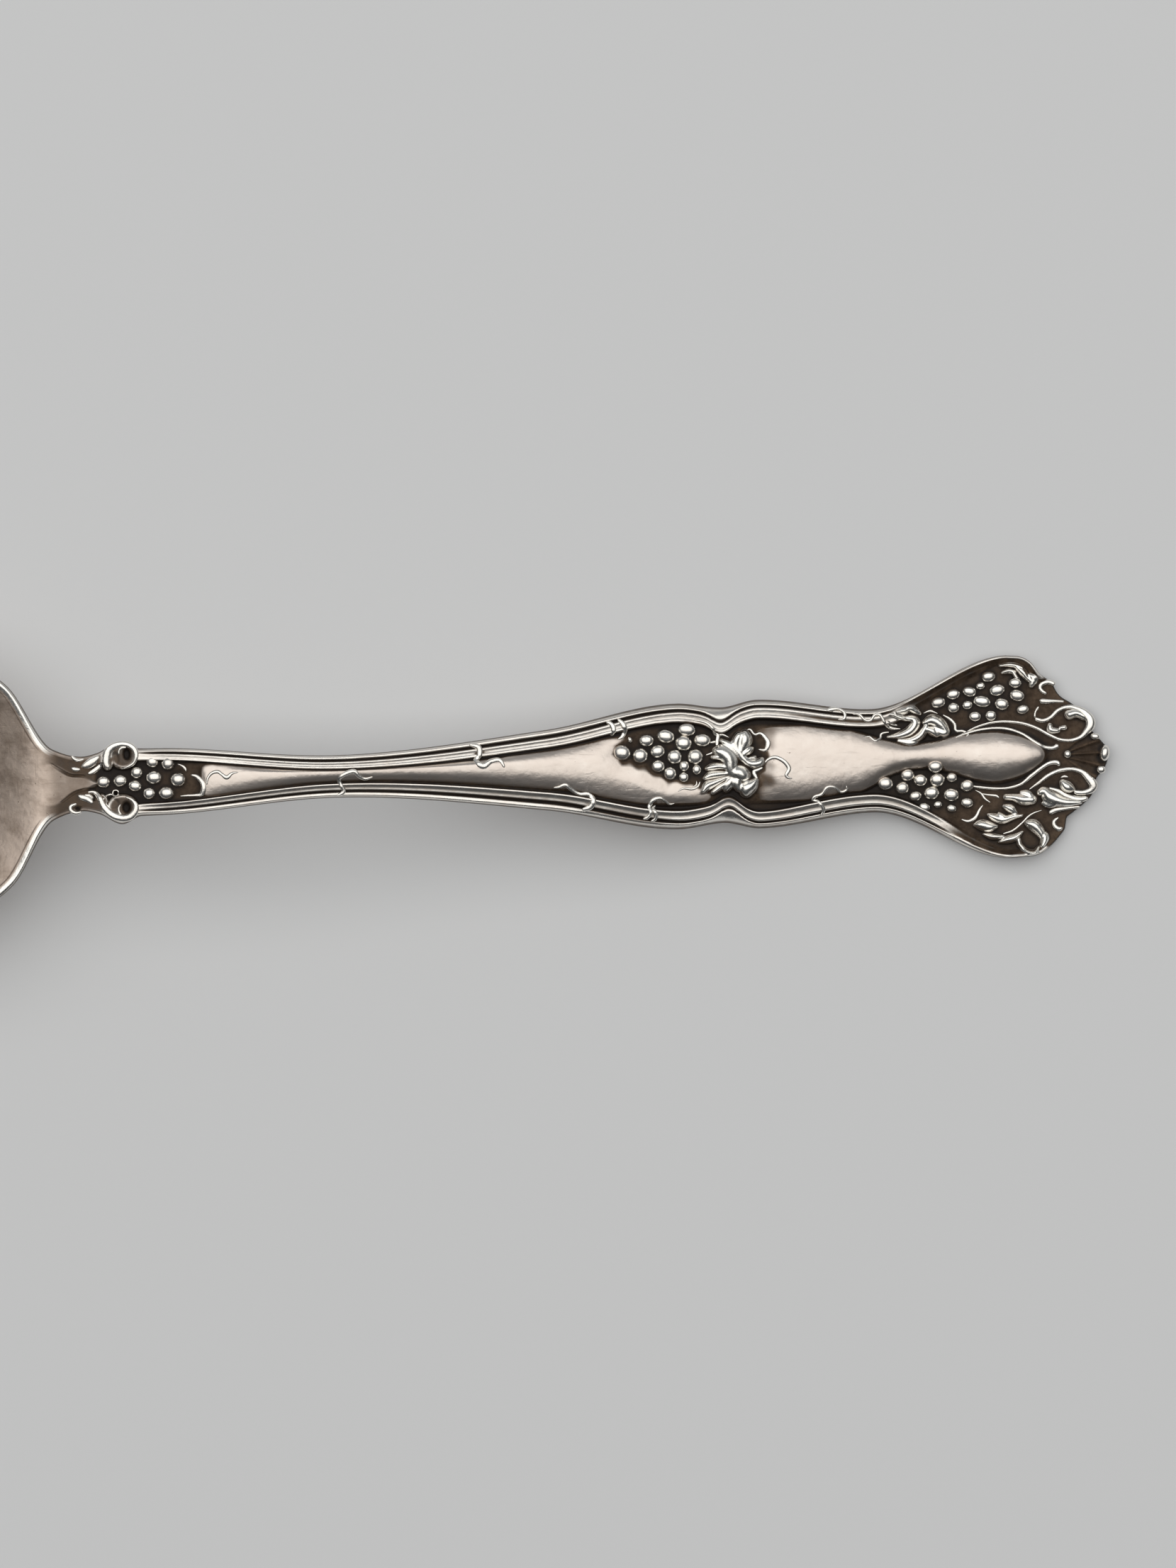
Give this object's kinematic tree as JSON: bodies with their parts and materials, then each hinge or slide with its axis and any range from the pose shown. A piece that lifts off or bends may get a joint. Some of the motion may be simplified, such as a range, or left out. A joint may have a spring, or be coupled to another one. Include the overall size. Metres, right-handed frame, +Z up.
{
  "type": "teaspoon",
  "caption": "Silver-plated teaspoon with an egg-shaped bowl and an arched handle: reeded rims, grapevine relief, flaring to a fan-shaped end with scrolls and a shell, lying bowl up.",
  "frame": {"origin": "under the middle of the spoon's length and width, on the table that it lies on", "axes": "+X from the bowl towards the handle's end, +Y across to the left of someone looking from the bowl to the handle's end, +Z up out of the bowl"},
  "size_m": [0.152, 0.0312, 0.0124],
  "materials": {
    "silver_plate": "worn silver plate, bright on the high places, dark tarnish in the relief"
  },
  "bodies": {
    "root": {"bowl": "silver_plate", "handle": "silver_plate"}
  },
  "joints": []
}
